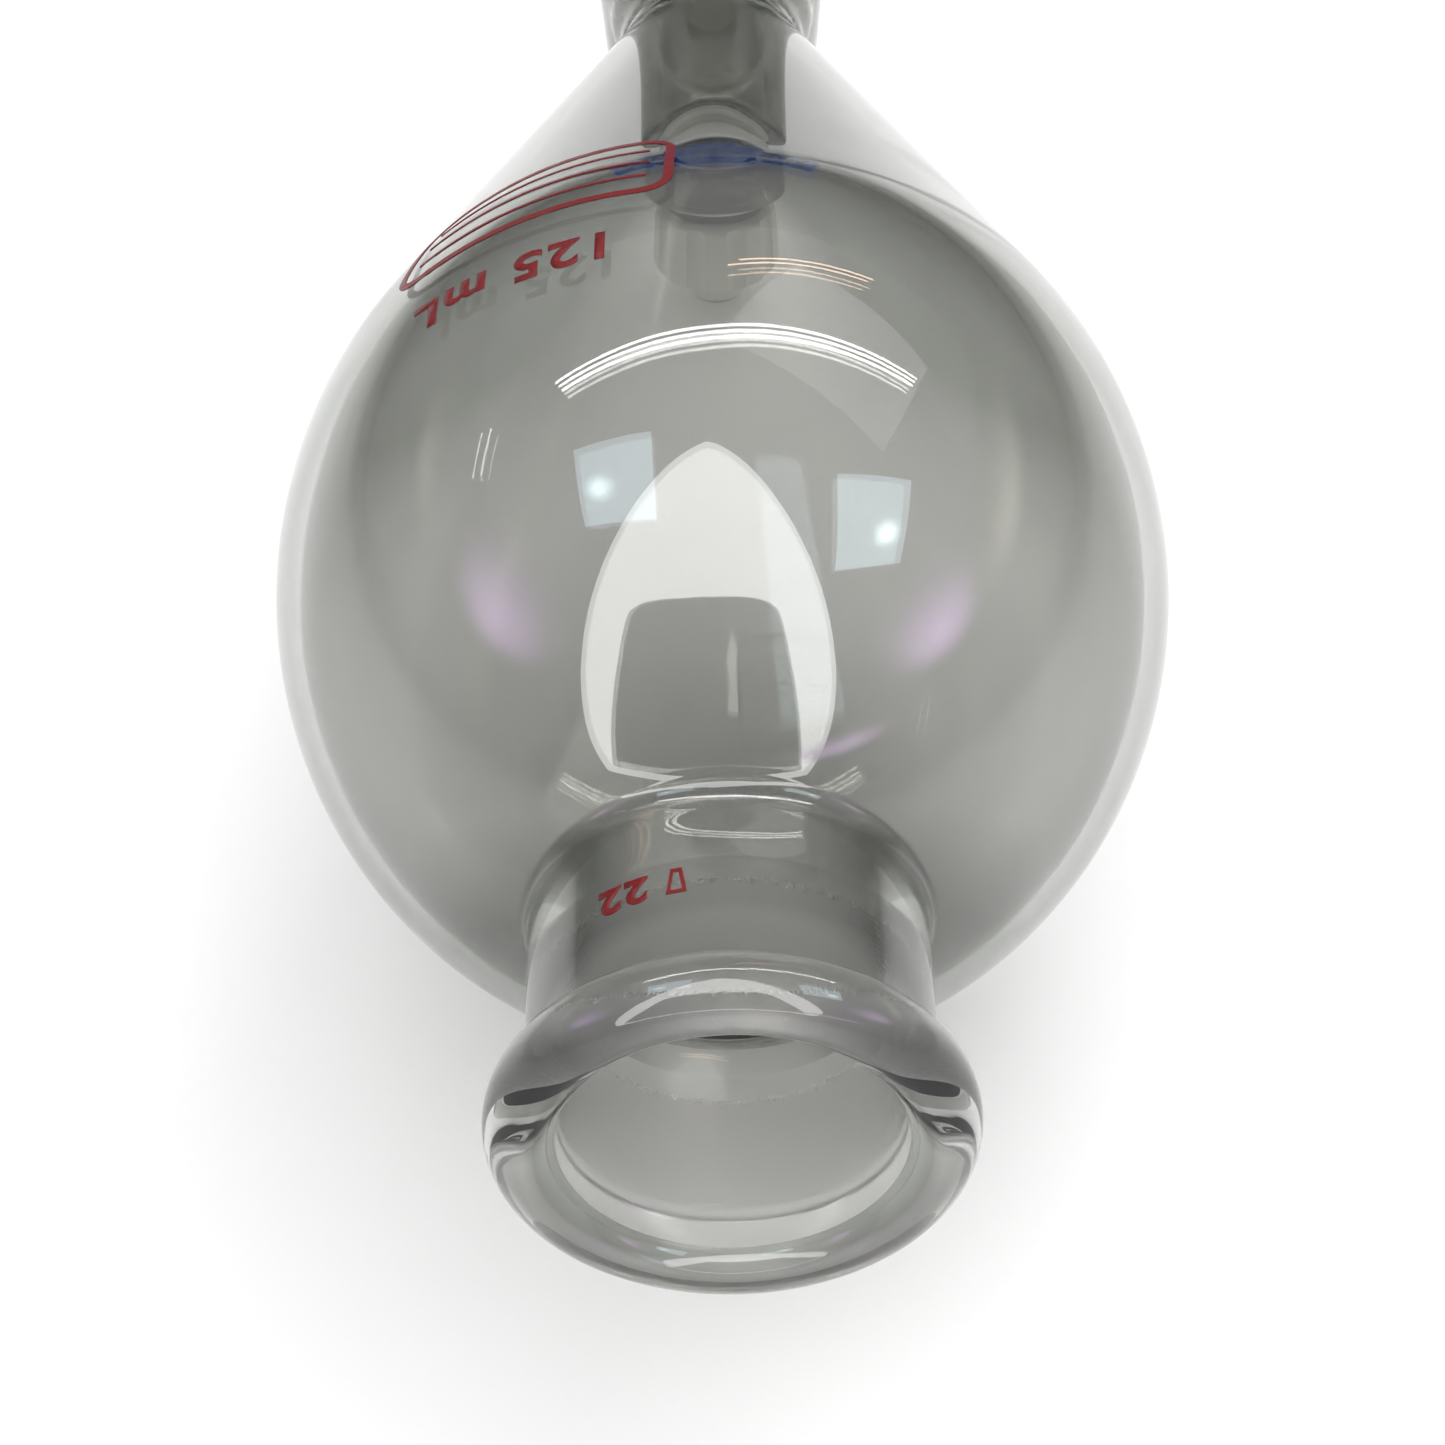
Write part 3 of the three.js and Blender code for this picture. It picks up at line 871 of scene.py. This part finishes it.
def makeNut(s):
    low = s["low"]
    high = s["top"]
    mouth = s["mouth"]
    section = [(low, s["bore"] + mouth), (low, s["radius"]), (high, s["radius"]), (high, s["bore"] + mouth)]
    path = joined(section[:2], section[1:3], 0.9, 5)
    path = joined(path, section[2:], 0.6, 4)
    path += [(high - mouth, s["bore"]), (low + mouth, s["bore"]), section[0]]
    piece = turned("tensionNut", path, "stopcock", 120)
    length = (high - low) * 2
    for i in range(s["flutes"]):
        turn = 2 * math.pi * i / s["flutes"]
        x = s["flutePlace"] * math.cos(turn) * mm
        y = barrelY + s["flutePlace"] * math.sin(turn) * mm
        place = Vector((x, y, axisZ + (low + high) / 2 * mm))
        combine(piece, rod("flute", s["flute"], length, place, (0, 0, 1), 24), "DIFFERENCE")
    applied(piece, "BEVEL", width=s["edge"] * mm, segments=2, limit_method="ANGLE",
            angle_limit=math.radians(40))
    shadeByAngle(piece, 40)
    finished(piece, materials["nut"], "nut", "nut_plastic", "tension_nut")


makePlug(plug)
makeHandle(handle)
makeWasher(rings)
makeRing(rings)
makeNut(nut)
print("stopcock pieces made")


# ---- floor and light

studio = {
    "floor": {"near": "#f4f4f4", "far": "#6e6e6e", "from": 0.12, "to": 0.50},
    "sky": {"low": 0.34, "high": 1.05, "from": 0.0, "to": 0.7},
    # panels hang level above the bulb; each is drawn by its middle line, in m to the right of the bulb
    # and beyond it for every metre of height, and by its width
    "ceiling": 1.0,
    "fill": {"line": ((-1.6, 0.3), (1.9, 0.3)), "width": 3.4, "glow": 0.42},
    "key": {"line": ((0.2, 0.9), (1.0, 0.5)), "width": 0.9, "glow": 2.5},
    "panels": {
        "blueLeft": {"line": ((-0.67, -0.13), (-0.28, -0.15)), "width": 0.38, "glow": 5.0,
                     "colour": "#cfe6f2"},
        "blueRight": {"line": ((0.57, -0.36), (1.06, -0.26)), "width": 0.50, "glow": 5.0,
                      "colour": "#d4eef6"},
        "tubeFirst": {"line": ((-0.72, 0.43), (0.98, 0.57)), "width": 0.018, "glow": 22.0},
        "tubeSecond": {"line": ((-0.70, 0.395), (0.96, 0.535)), "width": 0.018, "glow": 22.0},
        "tubeThird": {"line": ((-0.74, 0.465), (1.00, 0.605)), "width": 0.018, "glow": 22.0},
        "warmFirst": {"line": ((0.05, 1.02), (0.78, 1.30)), "width": 0.018, "glow": 13.0,
                      "colour": "#ffd9bd"},
        "warmSecond": {"line": ((0.10, 1.09), (0.84, 1.38)), "width": 0.018, "glow": 13.0,
                       "colour": "#ffd9bd"},
        "blindFirst": {"line": ((-1.50, 0.26), (-1.30, 0.50)), "width": 0.02, "glow": 8.0},
        "blindSecond": {"line": ((-1.62, 0.30), (-1.42, 0.54)), "width": 0.02, "glow": 8.0},
    },
    # round pools of light that fade out: middle, half sizes and turn
    "pools": {
        "blueLeftCore": {"at": (-0.50, -0.13), "half": (0.10, 0.07), "glow": 16.0, "colour": "#dff6ff"},
        "blueRightCore": {"at": (0.83, -0.30), "half": (0.12, 0.10), "glow": 18.0, "colour": "#e6faff"},
        "violetLeft": {"at": (-2.0, -0.75), "half": (1.2, 0.8), "turn": 20, "glow": 5.0, "colour": "#e3c4f4"},
        "violetRight": {"at": (2.1, -1.0), "half": (1.2, 0.8), "turn": -20, "glow": 6.0, "colour": "#e3c4f4"},
        "violetLow": {"at": (2.4, -4.2), "half": (1.4, 1.4), "glow": 5.0, "colour": "#e3c4f4"},
        "greyLeft": {"at": (-2.6, 1.0), "half": (1.2, 0.9), "turn": 30, "glow": 1.6, "colour": "#e9e8e2"},
        "greyRight": {"at": (2.6, 0.5), "half": (1.0, 1.4), "turn": 20, "glow": 2.2, "colour": "#eceade"},
    },
    # a window seen as an arch: half its width grows as a power of the distance from its crown
    "arch": {"glow": 8.5, "crown": -0.03, "end": 9.0, "widen": (0.88, 0.70), "lean": (-0.05, -0.09),
             "hole": (0.74, 7.0), "holeWiden": (0.41, 0.46, 0.95), "points": 48},
}


bulbCentre = Vector((0, mouthY + vessel["bulbStation"] * mm, axisZ))


def makeFloor(s):
    deselectAll()
    bpy.ops.mesh.primitive_plane_add(size=6, location=(0, 0, -0.05 * mm))
    floor = bpy.context.object
    floor.name = "floor"
    material, tree, place = newMaterial("paleFloor")
    # pale round the object and greyer far away, where only reflections see it: the far grey is painted shade
    # that stands for a dim room
    distance = addNode(tree, "ShaderNodeVectorMath", {"operation": "LENGTH"}, {0: place}).outputs["Value"]
    share = addNode(tree, "ShaderNodeMapRange", {"From Min": s["from"], "From Max": s["to"]},
                    {"Value": distance})
    colour = addNode(tree, "ShaderNodeMix", {"data_type": "RGBA", 6: linear(s["near"]), 7: linear(s["far"])},
                     {0: share.outputs["Result"]})
    shader = addNode(tree, "ShaderNodeBsdfPrincipled", {"Roughness": 0.7, "Specular IOR Level": 0.2},
                     {"Base Color": colour.outputs[2]})
    addNode(tree, "ShaderNodeOutputMaterial", links={"Surface": shader.outputs[0]})
    floor.data.materials.append(material)


def makePanel(name, p, height):
    start, end = (Vector(point) * height for point in p["line"])
    data = bpy.data.lights.new(name, "AREA")
    data.shape = "RECTANGLE"
    data.size = (end - start).length
    data.size_y = p["width"] * height
    data.energy = p["glow"] * math.pi * data.size * data.size_y
    data.color = linear(p.get("colour", "#ffffff"))[:3]
    light = bpy.data.objects.new(name, data)
    bpy.context.scene.collection.objects.link(light)
    middle = (start + end) / 2
    light.location = bulbCentre + Vector((middle.x, middle.y, height))
    light.rotation_euler.z = math.atan2(end.y - start.y, end.x - start.x)
    return light


def makePool(name, p, height):
    # a plate whose glow fades from its middle to nothing, so that its reflection has no edge
    deselectAll()
    bpy.ops.mesh.primitive_plane_add(size=2)
    plate = bpy.context.object
    plate.name = name
    plate.location = bulbCentre + Vector((*p["at"], height))
    plate.scale = (*p["half"], 1)
    plate.rotation_euler.z = math.radians(p.get("turn", 0))
    material, tree, place = newMaterial(name + "Glow")
    distance = addNode(tree, "ShaderNodeVectorMath", {"operation": "LENGTH"}, {0: place}).outputs["Value"]
    fade = addNode(tree, "ShaderNodeMapRange",
                   {"interpolation_type": "SMOOTHSTEP", "From Min": 1.0, "From Max": 0.0},
                   {"Value": distance}).outputs["Result"]
    clear = addNode(tree, "ShaderNodeBsdfTransparent").outputs[0]
    glow = addNode(tree, "ShaderNodeEmission", {"Color": linear(p["colour"]), "Strength": p["glow"]})
    mix = addNode(tree, "ShaderNodeMixShader", links={0: fade, 1: clear, 2: glow.outputs[0]}).outputs[0]
    addNode(tree, "ShaderNodeOutputMaterial", links={"Surface": mix})
    plate.data.materials.append(material)
    hideFromFloor(plate)


def hideFromFloor(plate):
    # the plate shows in the glass and neither lights nor shades the floor
    plate.visible_diffuse = False
    plate.visible_shadow = False


def archPoints(s, start, end, halfWidth):
    # down one side and back up the other
    distances = [start + (end - start) * (i / (s["points"] - 1)) ** 2 for i in range(s["points"])]
    middles = [s["lean"][0] + s["lean"][1] * d for d in distances]
    right = [(m + halfWidth(d), s["crown"] - d) for m, d in zip(middles, distances)]
    left = [(m - halfWidth(d), s["crown"] - d) for m, d in zip(middles, distances)]
    return right + left[::-1]


def roundedShare(share):
    return (1 - (1 - min(1, share)) ** 4) ** 0.25


def makeArch(s):
    # a glowing plate with a hole in it, which only reflections show
    first, grow, power = s["holeWiden"]
    holeStart, holeEnd = s["hole"]
    outer = archPoints(s, 0.0, s["end"], lambda d: s["widen"][0] * d ** s["widen"][1])
    hole = archPoints(s, holeStart, holeEnd, lambda d: first * roundedShare((d - holeStart) / 0.2)
                      + grow * (d - holeStart) ** power)
    deselectAll()
    bpy.ops.mesh.primitive_circle_add(vertices=len(outer), radius=2)
    bpy.ops.object.mode_set(mode="EDIT")
    bpy.ops.mesh.primitive_circle_add(vertices=len(hole), radius=1)
    bpy.ops.mesh.select_all(action="SELECT")
    bpy.ops.mesh.bridge_edge_loops()
    bpy.ops.object.mode_set(mode="OBJECT")
    plate = bpy.context.object
    plate.name = "archWindow"
    for vertex, (x, y) in zip(plate.data.vertices, outer + hole):
        vertex.co = bulbCentre + Vector((x, y, studio["ceiling"]))
    material, tree, place = newMaterial("windowGlow")
    glow = addNode(tree, "ShaderNodeEmission", {"Strength": s["glow"]})
    addNode(tree, "ShaderNodeOutputMaterial", links={"Surface": glow.outputs[0]})
    plate.data.materials.append(material)
    hideFromFloor(plate)


def makeSky(s):
    # a soft room, dark at the horizon and bright overhead
    world = bpy.data.worlds.new("softRoom")
    world.use_nodes = True
    tree = world.node_tree
    tree.nodes.clear()
    direction = addNode(tree, "ShaderNodeTexCoord").outputs["Generated"]
    height = addNode(tree, "ShaderNodeSeparateXYZ", links={0: direction}).outputs["Z"]
    change = (s["from"], s["to"], s["low"], s["high"])
    glow = addNode(tree, "ShaderNodeMapRange", dict(zip(rangeSockets, change)), {"Value": height})
    sky = addNode(tree, "ShaderNodeBackground", {"Color": (1, 1, 1, 1)}, {"Strength": glow.outputs["Result"]})
    addNode(tree, "ShaderNodeOutputWorld", links={"Surface": sky.outputs[0]})
    bpy.context.scene.world = world


def makeLights(s):
    # the fill and the key light the floor, and the panels show in the glass
    makePanel("fill", s["fill"], s["ceiling"] + 0.2).visible_glossy = False
    makePanel("key", s["key"], s["ceiling"] + 0.1).visible_glossy = False
    for i, (name, panel) in enumerate(s["panels"].items()):
        makePanel(name, panel, s["ceiling"] - 0.005 * i - 0.01).visible_diffuse = False
    for i, (name, pool) in enumerate(s["pools"].items()):
        makePool(name, pool, s["ceiling"] - 0.005 * i - 0.1)
    makeArch(s["arch"])
    makeSky(s["sky"])


makeFloor(studio["floor"])
makeLights(studio)
print("studio lit")
